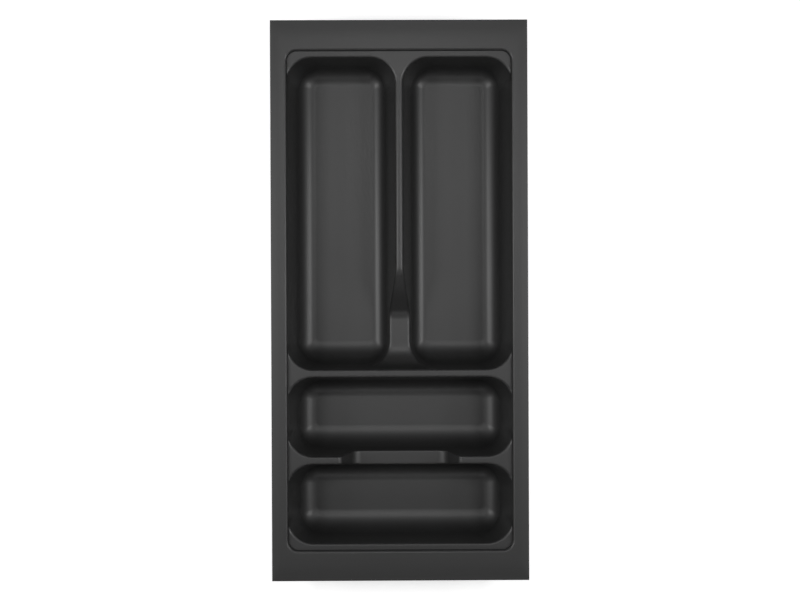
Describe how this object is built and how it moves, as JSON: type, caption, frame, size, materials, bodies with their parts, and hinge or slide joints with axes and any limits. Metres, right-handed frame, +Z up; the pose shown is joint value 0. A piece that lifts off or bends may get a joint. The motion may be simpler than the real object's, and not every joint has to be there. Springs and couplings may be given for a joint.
{
  "type": "drawer cutlery tray",
  "caption": "Cutlery tray for a kitchen drawer, formed from one dark plastic sheet, with a wide rim, long and short pockets, and lowered dividers to reach the cutlery.",
  "frame": {"origin": "centre of the tray in plan, on the surface that the pocket floors stand on", "axes": "+X to the right, +Y towards the back of the drawer where the long pockets are, +Z up"},
  "size_m": [0.217, 0.473, 0.053],
  "materials": {
    "tray_plastic": "anthracite sheet plastic with a fine satin grain"
  },
  "bodies": {
    "root": {"tray": "tray_plastic"}
  },
  "joints": []
}
